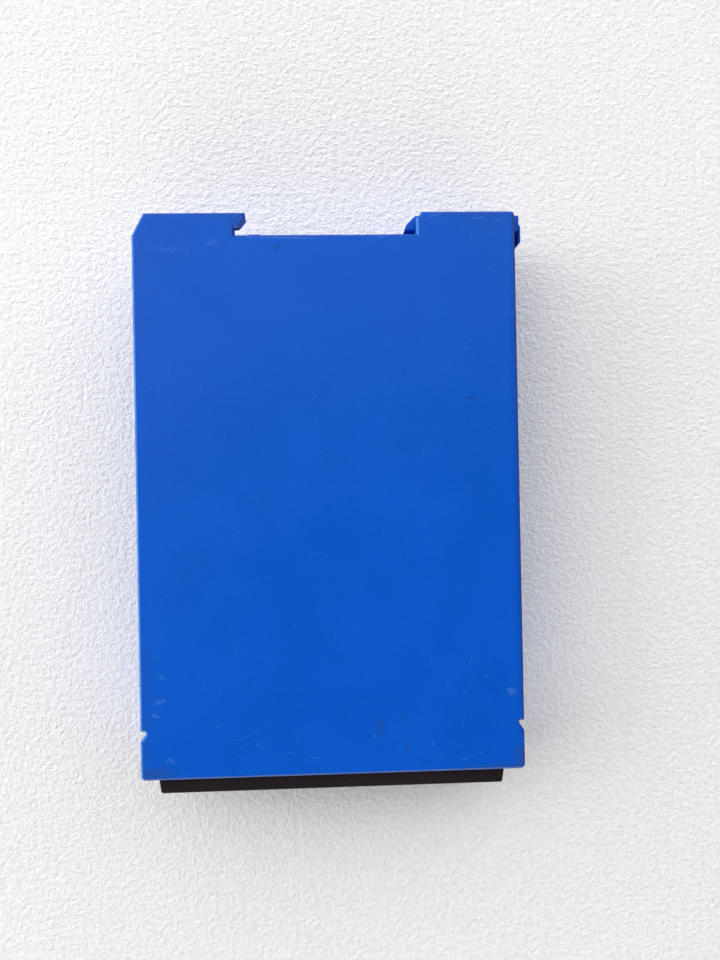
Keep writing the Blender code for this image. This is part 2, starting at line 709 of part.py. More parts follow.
def leads(red, black, yellow):
    rows = cell_rows()
    lead("positive_lead", -1, rows[0], LOW_COURSE, red)
    lead("negative_lead", -1, rows[3], HIGH_COURSE, black)
    lead("balance_lead_1", 1, (rows[0] + rows[1]) / 2, LOW_COURSE, yellow)
    lead("balance_lead_2", 1, (rows[2] + rows[3]) / 2, HIGH_COURSE, yellow)


def pole_places():
    return [PLUG_MID_X + (index - (POLES - 1) / 2) * POLE_PITCH for index in range(POLES)]


def plug_header(green, metal):
    x = (PLUG_MID_X - PLUG_X - GAP, PLUG_MID_X + PLUG_X + GAP)
    room_x = (PLUG_MID_X - PLUG_TAIL_X - GAP, PLUG_MID_X + PLUG_TAIL_X + GAP)
    room_z = (PLUG_TAIL_Z[0] - GAP, PLUG_TAIL_Z[1] + GAP)
    hole = PIN_HALF + GAP
    cuts = [box(room_x, (HEADER_Y[0] - OVERCUT, HEADER_BACK_Y), room_z)]
    for pole in pole_places():
        through = (HEADER_BACK_Y - GAP, HEADER_Y[1] + OVERCUT)
        cuts.append(box(around(pole, hole), through, around(CONTROL_Z, hole)))
    piece("plug_header", green, box(x, HEADER_Y, (ON_BOARD, HEADER_TOP)), (), cuts)
    for index, pole in enumerate(pole_places()):
        across = around(pole, PIN_HALF)
        bar = box(across, (PIN_REACH_Y, PIN_BEND_Y), around(CONTROL_Z, PIN_HALF))
        leg = box(across, (PIN_BEND_Y - 2 * PIN_HALF, PIN_BEND_Y), (ON_BOARD, CONTROL_Z))
        piece(f"header_pin_{index + 1}", metal, bar, [leg])


def terminal_plug(green):
    front = box(around(PLUG_MID_X, PLUG_X), (PLUG_FRONT_Y, PLUG_STEP_Y), PLUG_Z)
    tail = box(around(PLUG_MID_X, PLUG_TAIL_X), (PLUG_STEP_Y - BITE, PLUG_TAIL_Y), PLUG_TAIL_Z)
    mouth = PLUG_FRONT_Y - OVERCUT
    hole = PIN_HALF + GAP
    cuts = []
    for pole in pole_places():
        cuts.append(box(around(pole, WIRE_HALF), (mouth, POLE_ROOM_Y), around(WIRE_Z, WIRE_HALF)))
        cuts.append(rod((pole, mouth, SCREW_Z), (pole, POLE_ROOM_Y, SCREW_Z), SCREW_RECESS))
        cuts.append(box(around(pole, hole), (PIN_REACH_Y - GAP, 0), around(CONTROL_Z, hole)))
    centre = (PLUG_MID_X, PLUG_CENTRE_Y, CONTROL_Z)
    return piece("terminal_plug", green, front, [tail], cuts, centre)


def terminal_clamps(metal, plug):
    """The metal cage in each wire entry, open along the wire."""
    for index, pole in enumerate(pole_places()):
        half = WIRE_HALF - GAP
        block = box(around(pole, half), CLAMP_Y, around(WIRE_Z, half))
        bore = rod((pole, CLAMP_Y[0] - GAP, WIRE_Z), (pole, CLAMP_Y[1] + GAP, WIRE_Z), half - GAP, 20)
        centre = (pole, CLAMP_CENTRE_Y, WIRE_Z)
        piece(f"wire_clamp_{index + 1}", metal, block, (), [bore], centre, plug)


def terminal_screws(metal, plug):
    for index, pole in enumerate(pole_places()):
        neck = SCREW_Y[0] + SCREW_HEAD_LENGTH
        head = rod((pole, SCREW_Y[0], SCREW_Z), (pole, neck, SCREW_Z), SCREW_HEAD)
        shank = rod((pole, neck - BITE, SCREW_Z), (pole, SCREW_Y[1], SCREW_Z), SCREW_SHANK, 16)
        slot_y = (SCREW_Y[0] - GAP, SCREW_Y[0] + SCREW_SLOT_DEPTH)
        slot = box(around(pole, SCREW_SLOT_REACH), slot_y, around(SCREW_Z, SCREW_SLOT))
        centre = (pole, SCREW_Y[0], SCREW_Z)
        piece(f"terminal_screw_{index + 1}", metal, head, [shank], [slot], centre, plug)


def main_board(laminate):
    x = (-BOARD_HALF_X, BOARD_HALF_X)
    return piece("main_board", laminate, box(x, BOARD_Y, BOARD_Z))


def test_button(grey):
    def bar(start_y, end_y, radius, sides=32):
        return rod((BUTTON_X, start_y, CONTROL_Z), (BUTTON_X, end_y, CONTROL_Z), radius, sides)

    cap = bar(FRONT_Y + CONTROL_SINK, BUTTON_FLANGE_Y + BITE, BUTTON_RADIUS)
    flange = bar(BUTTON_FLANGE_Y, BUTTON_FLANGE_Y + BUTTON_FLANGE_DEPTH, BUTTON_FLANGE)
    stem = bar(BUTTON_FLANGE_Y, BUTTON_STEM_Y, BUTTON_STEM, 16)
    piece("test_button", grey, cap, [flange, stem], origin=(BUTTON_X, BUTTON_FLANGE_Y, CONTROL_Z))


def button_switch(black):
    block = box(around(BUTTON_X, BUTTON_SWITCH_HALF), BUTTON_SWITCH_Y, (ON_BOARD, BUTTON_SWITCH_TOP))
    start = (BUTTON_X, PLUNGER_Y[0], CONTROL_Z)
    piece("button_switch", black, block, [rod(start, (BUTTON_X, PLUNGER_Y[1], CONTROL_Z), BUTTON_STEM, 16)])


def lights(clear, lens):
    """Two clear rods that carry the light of the lamps behind them to the face."""
    for index, z in enumerate(PIPE_Z):
        pipe = rod((PIPE_X, FRONT_Y + GAP, z), (PIPE_X, PIPE_END_Y, z), PIPE_RADIUS)
        flange_end = (PIPE_X, BUTTON_FLANGE_Y + PIPE_FLANGE_DEPTH, z)
        flange = rod((PIPE_X, BUTTON_FLANGE_Y, z), flange_end, PIPE_FLANGE)
        piece(f"light_pipe_{index + 1}", clear, pipe, [flange])
        lamp = rod((PIPE_X, LAMP_Y[0], z), (PIPE_X, LAMP_Y[1], z), PIPE_RADIUS)
        rim = rod((PIPE_X, LAMP_RIM_Y[0], z), (PIPE_X, LAMP_RIM_Y[1], z), LAMP_RIM)
        across = around(PIPE_X, LAMP_LEG_HALF)
        leg_y = LAMP_LEG_Y[index]
        end_y = leg_y + LAMP_LEG_DEPTH
        leg = box(across, (leg_y - BITE, end_y), (ON_BOARD, z))
        bridge = box(across, (LAMP_Y[1], end_y), (z - LAMP_LEG_HALF, z))
        piece(f"led_{index + 1}", lens[index], lamp, [rim, leg, bridge])


def blade_places():
    left = FUSE_X[0] + FUSE_SIDE
    right = FUSE_X[1] - FUSE_SIDE
    return [(left, left + FUSE_BLADE), (right - FUSE_BLADE, right)]


def fuse_holder(black):
    slots = []
    for left, right in blade_places():
        slots.append(box((left - GAP, right + GAP), FUSE_SLOT_Y, around(CONTROL_Z, FUSE_SLOT_HALF)))
    x = (FUSE_X[0] - FUSE_SIDE, FUSE_X[1] + FUSE_SIDE)
    piece("fuse_socket", black, box(x, FUSE_SOCKET_Y, (ON_BOARD, FUSE_SOCKET_TOP)), (), slots)


def blade_fuse(orange, metal):
    centre = ((FUSE_X[0] + FUSE_X[1]) / 2, FUSE_BACK_Y, CONTROL_Z)
    first, second = blade_places()
    room_y = (FUSE_ROOM_Y, FUSE_BACK_Y + OVERCUT)
    room = box((first[0] - GAP, second[1] + GAP), room_y, around(CONTROL_Z, FUSE_SLOT_HALF))
    block = box(FUSE_X, (FRONT_Y + CONTROL_SINK, FUSE_BACK_Y), FUSE_Z)
    body = piece("fuse_body", orange, block, (), [room], centre)
    z = around(CONTROL_Z, FUSE_METAL_HALF)
    link = box((first[1] - BITE, second[0] + BITE), FUSE_LINK_Y, z)
    blade = box(second, FUSE_BLADE_Y, z)
    piece("fuse_element", metal, box(first, FUSE_BLADE_Y, z), [link, blade], (), centre, body)


def mode_switch(black, white):
    block = box(SWITCH_X, SWITCH_Y, (ON_BOARD, SWITCH_TOP))
    room = box(SWITCH_SLOT_X, SWITCH_ROOM_Y, around(CONTROL_Z, SWITCH_ROOM_HALF))
    piece("switch_body", black, block, (), [room])
    base = box(SLIDER_X, SLIDER_Y, around(CONTROL_Z, SLIDER_HALF))
    knob = box(KNOB_X, (FRONT_Y + CONTROL_SINK, KNOB_END_Y), around(CONTROL_Z, KNOB_HALF))
    middle = (SLIDER_X[0] + SLIDER_X[1]) / 2
    piece("switch_slider", white, base, [knob], origin=(middle, KNOB_END_Y, CONTROL_Z))


def inductor(black):
    """A shielded coil, square with its corners cut off."""
    corner = INDUCTOR_CORNER
    left, right = INDUCTOR_X
    front, rear = INDUCTOR_Y
    eight = [(left + corner, front), (right - corner, front), (right, front + corner)]
    eight += [(right, rear - corner), (right - corner, rear), (left + corner, rear)]
    eight += [(left, rear - corner), (left, front + corner)]
    piece("inductor", black, prism(eight, (ON_BOARD, INDUCTOR_TOP)))


def board_parts(black, silver, white):
    """The larger parts that stand on the board, and the thermistor that lies between two cells."""
    inductor(black)
    for index, y in enumerate(CAPACITOR_Y):
        can = rod((BUTTON_X, y, ON_BOARD), (BUTTON_X, y, CAPACITOR_TOP), CAPACITOR_RADIUS, 32)
        piece(f"capacitor_{index + 1}", silver, can)
    piece("controller_chip", black, box(CHIP_X, CHIP_Y, (ON_BOARD, CHIP_TOP)))
    for index, y in enumerate(TRANSISTOR_Y):
        end = y + TRANSISTOR_DEPTH
        tab_y = (y + TRANSISTOR_TAB_INSET, end - TRANSISTOR_TAB_INSET)
        tab = box(TRANSISTOR_TAB_X, tab_y, (ON_BOARD, TRANSISTOR_TAB_TOP))
        body = box(TRANSISTOR_X, (y, end), (ON_BOARD, TRANSISTOR_TOP))
        piece(f"transistor_{index + 1}", black, body, [tab])
    socket = box(CONNECTOR_X, CONNECTOR_Y, (ON_BOARD, CONNECTOR_TOP))
    room_x = (CONNECTOR_X[0] + CONNECTOR_WALL, CONNECTOR_X[1] - CONNECTOR_WALL)
    room_y = (CONNECTOR_Y[0] + CONNECTOR_WALL, CONNECTOR_Y[1] - CONNECTOR_WALL)
    room = box(room_x, room_y, (CONNECTOR_FLOOR, CONNECTOR_TOP + OVERCUT))
    piece("balance_connector", white, socket, (), [room])
    y = (cell_rows()[1] + cell_rows()[2]) / 2
    ends = [(x, y, THERMISTOR_Z) for x in (-THERMISTOR_HALF, THERMISTOR_HALF)]
    piece("thermistor", black, rod(*ends, THERMISTOR_RADIUS, 12))


def build():
    clear_scene()
    blue = material("blue_plastic", (0.003, 0.085, 0.50), 0.48)
    black = material("black_plastic", (0.018, 0.015, 0.017), 0.45)
    dark = material("moulded_black", (0.02, 0.02, 0.02), 0.5)
    green = material("green_plastic", (0.02, 0.22, 0.08), 0.45)
    grey = material("grey_plastic", (0.32, 0.33, 0.34), 0.45)
    white = material("white_plastic", (0.75, 0.75, 0.72), 0.5)
    orange = material("orange_plastic", (0.75, 0.22, 0.03), 0.35)
    steel = material("spring_steel", (0.55, 0.55, 0.56), 0.3, 1.0)
    nickel = material("nickel", (0.62, 0.60, 0.56), 0.3, 1.0)
    silver = material("aluminium_can", (0.7, 0.7, 0.7), 0.3, 1.0)
    wrap = material("cell_wrap", (0.02, 0.32, 0.28), 0.35)
    paper = material("insulating_paper", (0.62, 0.55, 0.38), 0.8)
    laminate = material("board_laminate", (0.01, 0.13, 0.05), 0.4)
    clear = material("clear_plastic", (0.8, 0.85, 0.85), 0.15)
    red = material("red_insulation", (0.55, 0.02, 0.02), 0.45)
    yellow = material("yellow_insulation", (0.75, 0.55, 0.03), 0.45)
    lamp_green = material("green_lamp", (0.05, 0.5, 0.12), 0.2)
    lamp_amber = material("amber_lamp", (0.8, 0.35, 0.03), 0.2)
    case_body(blue)
    side_cover(blue)
    din_foot(blue)
    foot_spring(steel)
    front_panel(black)
    marking_strip(white)
    cells(wrap)
    cell_frames(dark)
    tabs(nickel)
    insulators(paper)
    leads(red, dark, yellow)
    main_board(laminate)
    plug_header(green, nickel)
    plug = terminal_plug(green)
    terminal_clamps(nickel, plug)
    terminal_screws(steel, plug)
    test_button(grey)
    button_switch(dark)
    lights(clear, (lamp_green, lamp_amber))
    fuse_holder(dark)
    blade_fuse(orange, nickel)
    mode_switch(dark, white)
    board_parts(dark, silver, white)


build()
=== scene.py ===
"""Looks of the rail-mount battery pack: materials, softened edges, spring, floor, light, camera."""

import math

import bpy
from mathutils import Matrix, Vector


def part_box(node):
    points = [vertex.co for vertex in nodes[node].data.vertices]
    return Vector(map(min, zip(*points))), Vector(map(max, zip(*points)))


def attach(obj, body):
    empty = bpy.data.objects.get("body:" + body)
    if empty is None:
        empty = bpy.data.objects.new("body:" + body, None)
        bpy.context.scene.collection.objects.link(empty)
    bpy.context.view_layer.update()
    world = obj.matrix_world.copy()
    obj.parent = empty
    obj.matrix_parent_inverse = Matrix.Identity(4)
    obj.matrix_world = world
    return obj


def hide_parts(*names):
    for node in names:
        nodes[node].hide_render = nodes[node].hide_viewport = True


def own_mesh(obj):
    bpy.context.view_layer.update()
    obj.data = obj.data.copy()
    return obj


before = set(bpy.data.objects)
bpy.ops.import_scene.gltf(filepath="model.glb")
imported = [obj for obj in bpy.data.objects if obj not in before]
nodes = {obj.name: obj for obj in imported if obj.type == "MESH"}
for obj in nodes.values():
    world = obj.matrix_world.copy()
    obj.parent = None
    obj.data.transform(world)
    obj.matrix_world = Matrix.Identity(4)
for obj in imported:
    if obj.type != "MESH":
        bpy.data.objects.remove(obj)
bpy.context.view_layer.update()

# Camera, from the photograph's viewing angle
CAMERA_PLACE = Vector((0.00059, 0.00191, 0.16700))
CAMERA_AIM = Vector((0.00597, 0.00242, 0.02250))
CAMERA_UP = Vector((0.0193, 0.9998, 0.0))
LENS_MM = 27.76
SENSOR_MM = 36.0
CLIP_START = 0.005

# Mesh clean-up, and widths of the rounded edges
MERGE_DISTANCE = 1e-6
SHARP_ANGLE = math.radians(32)
FLAT_ANGLE = math.radians(0.5)
ROUNDING_SEGMENTS = 2
LEAF_EDGE = 0.00005
SCREW_EDGE = 0.00008
SMALL_EDGE = 0.0001
HOUSING_EDGE = 0.00012
BUTTON_EDGE = 0.00015
FUSE_EDGE = 0.0002
CAN_EDGE = 0.0003

# Surface detail of moulded plastic, as noise scales: a feature is about 1 / scale metres across
UNEVEN_SCALE = 45.0
RUBBED_SCALE = 60.0
MOTTLE_SCALE = 1500.0
SPECK_SCALE = 2300.0
GRAIN_SCALE = 5500.0
GRAIN_DEPTH = 0.00004

# Hair scratches: the size of the cells that hold one each, and the share of cells that do
SHORT_CELL, SHORT_SHARE = 0.0035, 0.35
LONG_CELL, LONG_SHARE = 0.0090, 0.30
LONG_SHIFT = 7.3
LONG_HALF_WIDTH = 0.006
SCRATCH_STRENGTH = 0.26
SPECK_STRENGTH = 0.22

# Patches of grime and wear
PATCH_REACH_Z = 0.002
FINEST_OUTLINE_SCALE = 2500.0
BROKEN_SCALE = 3200.0

# The blue housing, and its cover's rim: painted light on the left and at the front, and painted
# shade on the right and at the rear
BLUE = (0.0006, 0.078, 0.472)
BLUE_ROUGHNESS = 0.38
BLUE_SPECULAR = 0.155
RIM_START = 0.0006
RIM_FULL = 0.0004
RIM_SCALE = 260.0
COVER_RIM_LIGHT_AND_SHADE = [
    ((-1, 0, 0), (0.055, 0.210, 0.62), 1.0),
    ((1, 0, 0), (0.0002, 0.026, 0.22), 1.0),
    ((0, 1, 0), (0.001, 0.045, 0.30), 0.9),
    ((0, -1, 0), (0.080, 0.150, 0.42), 0.9),
]

# Floor
FLOOR_HALF = 1.5
FLOOR_Z = -0.0001
PEBBLE_SCALE = 850.0
PEBBLE_DEPTH = 0.0008

# Light: each span is where the room starts to brighten and where it has its full strength
ROOM_COLOUR = (1.0, 1.0, 1.0, 1.0)
REAR_LEAN = 1.1
OVERHEAD_STRENGTH = 0.0
WALL_STRENGTH = 0.70
WALL_SPAN = (1.05, 0.35)
REAR_STRENGTH = 1.45
REAR_SPAN = (0.05, 0.65)
FRONT_STRENGTH = 2.3
FRONT_SPAN = (-0.60, -0.95)
WINDOW_SIZE = (0.9, 0.6)
WINDOWS = [
    ((-1.27, 0.20, 0.60), 5.8),
    ((-1.07, 0.20, 0.90), 2.4),
    ((-0.70, 0.20, 1.21), 2.5),
]

# Where things are on the object
FACE_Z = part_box("side_cover")[1][2]
LOW = Vector(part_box("case_body")[0])
HIGH = Vector(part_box("case_body")[1])


def build_tree(material):
    """Gives a material a tree with only a Principled shader, and returns both."""
    material.use_nodes = True
    tree = material.node_tree
    tree.nodes.clear()
    shader = tree.nodes.new("ShaderNodeBsdfPrincipled")
    output = tree.nodes.new("ShaderNodeOutputMaterial")
    tree.links.new(shader.outputs["BSDF"], output.inputs["Surface"])
    return tree, shader


def feed(tree, socket, value):
    """Sets a socket to a value, or links another node's output to it."""
    if isinstance(value, bpy.types.NodeSocket):
        tree.links.new(value, socket)
    else:
        socket.default_value = value


def maths(tree, operation, first, second=0.0):
    node = tree.nodes.new("ShaderNodeMath")
    node.operation = operation
    feed(tree, node.inputs[0], first)
    feed(tree, node.inputs[1], second)
    return node.outputs[0]


def vectors(tree, operation, first, second, result="Vector"):
    node = tree.nodes.new("ShaderNodeVectorMath")
    node.operation = operation
    feed(tree, node.inputs[0], first)
    feed(tree, node.inputs[1], second)
    return node.outputs[result]


def ramp(tree, value, low, high, to_low=0.0, to_high=1.0):
    """Maps low..high to to_low..to_high, smoothly and clamped."""
    node = tree.nodes.new("ShaderNodeMapRange")
    node.interpolation_type = "SMOOTHSTEP"
    feed(tree, node.inputs["Value"], value)
    limits = {"From Min": low, "From Max": high, "To Min": to_low, "To Max": to_high}
    for name, number in limits.items():
        node.inputs[name].default_value = number
    return node.outputs["Result"]


def blend_colour(tree, amount, first, second):
    node = tree.nodes.new("ShaderNodeMix")
    node.data_type = "RGBA"
    sockets = [socket for socket in node.inputs if socket.type == "RGBA"]
    feed(tree, node.inputs["Factor"], amount)
    feed(tree, sockets[0], first)
    feed(tree, sockets[1], second)
    return [socket for socket in node.outputs if socket.type == "RGBA"][0]


def rgba(colour, gain=1.0):
    return (*[min(1.0, channel * gain) for channel in colour], 1.0)


def paler(colour, amount=0.18):
    """The colour as it shows where it is rubbed or dusty."""
    return [channel + (1.0 - channel) * amount for channel in colour]


def place_on_object(tree, stretch=(1, 1, 1), shift=(0, 0, 0)):
    """Coordinates fixed to the object, in metres, stretched and then shifted."""
    source = tree.nodes.new("ShaderNodeTexCoord")
    mapping = tree.nodes.new("ShaderNodeMapping")
    mapping.inputs["Scale"].default_value = stretch
    mapping.inputs["Location"].default_value = shift
    tree.links.new(source.outputs["Object"], mapping.inputs["Vector"])
    return mapping.outputs["Vector"]


def noise(tree, vector, scale, detail=3.0, roughness=0.55):
    node = tree.nodes.new("ShaderNodeTexNoise")
    node.inputs["Scale"].default_value = scale
    node.inputs["Detail"].default_value = detail
    node.inputs["Roughness"].default_value = roughness
    tree.links.new(vector, node.inputs["Vector"])
    return node.outputs["Fac"]


def strokes(tree, cell, chance, shift=0.0, half_length=0.32, half_width=0.012):
    """Short bent hair scratches, at most one in each cell of this size and each turned its own way.

    Half length and half width are shares of the cell. The result is 1 on a scratch and 0 off it."""
    spot = place_on_object(tree, (1.0 / cell,) * 3, (shift,) * 3)
    cells = tree.nodes.new("ShaderNodeTexVoronoi")
    cells.inputs["Scale"].default_value = 1.0
    tree.links.new(spot, cells.inputs["Vector"])
    own = tree.nodes.new("ShaderNodeSeparateColor")
    tree.links.new(cells.outputs["Color"], own.inputs["Color"])
    turn = tree.nodes.new("ShaderNodeVectorRotate")
    turn.rotation_type = "Z_AXIS"
    from_middle = vectors(tree, "SUBTRACT", spot, cells.outputs["Position"])
    tree.links.new(from_middle, turn.inputs["Vector"])
    tree.links.new(maths(tree, "MULTIPLY", own.outputs["Red"], math.tau), turn.inputs["Angle"])
    place = tree.nodes.new("ShaderNodeSeparateXYZ")
    tree.links.new(turn.outputs["Vector"], place.inputs["Vector"])
    along = maths(tree, "ABSOLUTE", place.outputs["X"])
    curvature = 0.6
    soft_end = 0.05
    bend = maths(tree, "MULTIPLY", maths(tree, "MULTIPLY", along, along), curvature)
    across = maths(tree, "ABSOLUTE", maths(tree, "ADD", place.outputs["Y"], bend))
    reach = maths(tree, "MULTIPLY", own.outputs["Blue"], half_length)
    inside = ramp(tree, maths(tree, "SUBTRACT", along, reach), soft_end, -soft_end)
    line = ramp(tree, across, half_width * 1.5, half_width * 0.5)
    there = maths(tree, "LESS_THAN", own.outputs["Green"], chance)
    return maths(tree, "MULTIPLY", maths(tree, "MULTIPLY", inside, line), there)


def patch(tree, centre, half_size, ragged, turn):
    """A soft ragged oval about a point of the object, 1 in its middle and 0 outside.

    It lies in the X-Y plane, turned anticlockwise by the angle, and reaches a little up and down."""
    source = tree.nodes.new("ShaderNodeTexCoord")
    moved = vectors(tree, "SUBTRACT", source.outputs["Object"], centre)
    rotate = tree.nodes.new("ShaderNodeVectorRotate")
    rotate.rotation_type = "Z_AXIS"
    rotate.inputs["Angle"].default_value = -turn
    tree.links.new(moved, rotate.inputs["Vector"])
    share = vectors(tree, "DIVIDE", rotate.outputs["Vector"], (*half_size, PATCH_REACH_Z))
    distance = vectors(tree, "LENGTH", share, (0, 0, 0), "Value")
    outline_scale = min(0.9 / min(half_size), FINEST_OUTLINE_SCALE)
    uneven = noise(tree, source.outputs["Object"], outline_scale, 4.0, 0.75)
    wander = maths(tree, "MULTIPLY", maths(tree, "SUBTRACT", uneven, 0.5), 3.0 * ragged)
    edge = maths(tree, "ADD", distance, wander)
    flecks = noise(tree, source.outputs["Object"], BROKEN_SCALE, 4.0, 0.7)
    broken = ramp(tree, flecks, 0.38, 0.60, 1.0 - ragged)
    outermost, innermost = 1.15, 0.25
    return maths(tree, "MULTIPLY", ramp(tree, edge, outermost, innermost), broken)


def rim(tree, towards):
    """Mask of the painted light and shade on the cover's chamfered rim: 1 where it faces this way,
    unevenly, and 0 elsewhere.
    """
    source = tree.nodes.new("ShaderNodeTexCoord")
    place = tree.nodes.new("ShaderNodeSeparateXYZ")
    tree.links.new(source.outputs["Object"], place.inputs["Vector"])
    high = ramp(tree, place.outputs["Z"], FACE_Z - RIM_START, FACE_Z - RIM_FULL)
    turned = vectors(tree, "DOT_PRODUCT", source.outputs["Normal"], towards, "Value")
    facing = ramp(tree, turned, 0.20, 0.55)
    # noise that makes the painted rim light and shade uneven
    wear = noise(tree, source.outputs["Object"], RIM_SCALE, 4.0, 0.7)
    uneven = ramp(tree, wear, 0.30, 0.60, 0.55, 1.0)
    return maths(tree, "MULTIPLY", maths(tree, "MULTIPLY", high, facing), uneven)


def add_bump(tree, shader, height, strength, depth):
    bump = tree.nodes.new("ShaderNodeBump")
    bump.inputs["Strength"].default_value = strength
    bump.inputs["Distance"].default_value = depth
    tree.links.new(height, bump.inputs["Height"])
    tree.links.new(bump.outputs["Normal"], shader.inputs["Normal"])


def moulded(name, colour, roughness, specular=0.3, wear=0.5, grain=0.25, marks=(), rims=()):
    """Moulded plastic: fine spark-eroded grain, uneven tone, pale specks and hair scratches.

    Each mark is a patch's centre, half size, turn, raggedness, colour and strength.
    Each rim is the way that a part of the cover's rim faces, its colour and its strength; the
    colours paint light on the rims that face the lamps and shade on those that face away."""
    material = bpy.data.materials.new(name)
    tree, shader = build_tree(material)
    spot = place_on_object(tree)
    broad = noise(tree, spot, UNEVEN_SCALE, 3.0)
    mottle = noise(tree, spot, MOTTLE_SCALE, 3.0, 0.6)
    fine = noise(tree, spot, GRAIN_SCALE, 2.0)
    pale = rgba(paler(colour))
    shares = ramp(tree, broad, 0.35, 0.65)
    tone = blend_colour(tree, shares, rgba(colour, 0.96), rgba(colour, 1.04))
    tone = blend_colour(tree, ramp(tree, mottle, 0.3, 0.75, 0.0, 0.5), tone, rgba(colour, 1.10))
    dots = noise(tree, spot, SPECK_SCALE, 0.0, 0.0)
    specks = ramp(tree, dots, 0.77, 0.83, 0.0, SPECK_STRENGTH * wear)
    tone = blend_colour(tree, specks, tone, pale)
    handled = noise(tree, place_on_object(tree, shift=(3, 1, 2)), RUBBED_SCALE, 2.0)
    rubbed = ramp(tree, handled, 0.50, 0.66)
    short = strokes(tree, SHORT_CELL, SHORT_SHARE)
    long = strokes(tree, LONG_CELL, LONG_SHARE, LONG_SHIFT, half_width=LONG_HALF_WIDTH)
    lines = maths(tree, "MULTIPLY", maths(tree, "MAXIMUM", short, long), rubbed)
    lines = maths(tree, "MULTIPLY", lines, SCRATCH_STRENGTH * wear)
    tone = blend_colour(tree, lines, tone, pale)
    for centre, half_size, turn, ragged, shade, amount in marks:
        shape = patch(tree, centre, half_size, ragged, turn)
        tone = blend_colour(tree, maths(tree, "MULTIPLY", shape, amount), tone, rgba(shade))
    # painted light and shade on the cover's rim, by the way each part of it faces
    for towards, shade, amount in rims:
        rim_light_and_shade = maths(tree, "MULTIPLY", rim(tree, towards), amount)
        tone = blend_colour(tree, rim_light_and_shade, tone, rgba(shade))
    tree.links.new(tone, shader.inputs["Base Color"])
    dull = ramp(tree, broad, 0.3, 0.7, roughness - 0.03, roughness + 0.03)
    dull = maths(tree, "ADD", dull, maths(tree, "MULTIPLY", lines, 0.3))
    tree.links.new(dull, shader.inputs["Roughness"])
    shader.inputs["Specular IOR Level"].default_value = specular
    height = maths(tree, "SUBTRACT", fine, maths(tree, "MULTIPLY", lines, 2.0))
    add_bump(tree, shader, height, grain, GRAIN_DEPTH)
    return material


def metal(name, colour, roughness, along=(0, 0, 1)):
    """Plated or drawn metal with fine lines along one axis and duller patches."""
    across_scale, along_scale = 2500.0, 120.0
    material = bpy.data.materials.new(name)
    tree, shader = build_tree(material)
    stretch = [along_scale if part else across_scale for part in along]
    lines = noise(tree, place_on_object(tree, stretch), 1.0, 3.0)
    cloud = noise(tree, place_on_object(tree), 350.0, 3.0)
    tone = blend_colour(tree, ramp(tree, cloud, 0.35, 0.7), rgba(colour), rgba(colour, 0.78))
    tone = blend_colour(tree, ramp(tree, lines, 0.45, 0.8, 0.0, 0.3), tone, rgba(colour, 0.6))
    tree.links.new(tone, shader.inputs["Base Color"])
    dull = ramp(tree, cloud, 0.3, 0.7, roughness - 0.06, roughness + 0.12)
    tree.links.new(dull, shader.inputs["Roughness"])
    shader.inputs["Metallic"].default_value = 1.0
    add_bump(tree, shader, lines, 0.2, 0.00002)
    return material


def paper(name, colour):
    """Stiff insulating paper with drawn-out fibres."""
    material = bpy.data.materials.new(name)
    tree, shader = build_tree(material)
    fibre_scales = (900, 2600, 2600)
    fibre = noise(tree, place_on_object(tree, fibre_scales), 1.0, 5.0, 0.7)
    cloud = noise(tree, place_on_object(tree), 120.0, 3.0)
    tone = blend_colour(tree, ramp(tree, fibre, 0.3, 0.7), rgba(colour, 0.85), rgba(colour, 1.1))
    tone = blend_colour(tree, ramp(tree, cloud, 0.4, 0.7, 0.0, 0.25), tone, rgba(colour, 0.7))
    tree.links.new(tone, shader.inputs["Base Color"])
    tree.links.new(ramp(tree, cloud, 0.3, 0.7, 0.72, 0.9), shader.inputs["Roughness"])
    add_bump(tree, shader, fibre, 0.3, GRAIN_DEPTH)
    return material


def laminate(name, colour):
    """Lacquered circuit board, whose glass weave shows through."""
    material = bpy.data.materials.new(name)
    tree, shader = build_tree(material)
    waves = []
    for direction in "XY":
        wave = tree.nodes.new("ShaderNodeTexWave")
        wave.bands_direction = direction
        wave.inputs["Scale"].default_value = 400.0
        tree.links.new(place_on_object(tree), wave.inputs["Vector"])
        waves.append(wave.outputs["Fac"])
    weave = maths(tree, "MULTIPLY", *waves)
    cloud = noise(tree, place_on_object(tree), 200.0, 3.0)
    shares = ramp(tree, cloud, 0.35, 0.65)
    tone = blend_colour(tree, shares, rgba(colour, 0.85), rgba(colour, 1.15))
    tone = blend_colour(tree, maths(tree, "MULTIPLY", weave, 0.25), tone, rgba(colour, 1.8))
    tree.links.new(tone, shader.inputs["Base Color"])
    tree.links.new(ramp(tree, cloud, 0.3, 0.7, 0.28, 0.42), shader.inputs["Roughness"])
    add_bump(tree, shader, weave, 0.15, 0.00002)
    return material


def clear(name, colour, transmission, roughness):
    """Clear or tinted plastic with faint flow marks."""
    material = bpy.data.materials.new(name)
    tree, shader = build_tree(material)
    flow = noise(tree, place_on_object(tree), 500.0, 3.0)
    tone = blend_colour(tree, ramp(tree, flow, 0.3, 0.7), rgba(colour, 0.92), rgba(colour, 1.05))
    tree.links.new(tone, shader.inputs["Base Color"])
    dull = ramp(tree, flow, 0.3, 0.7, roughness, roughness + 0.1)
    tree.links.new(dull, shader.inputs["Roughness"])
    shader.inputs["Transmission Weight"].default_value = transmission
    shader.inputs["IOR"].default_value = 1.49
    add_bump(tree, shader, flow, 0.1, 0.00003)
    return material


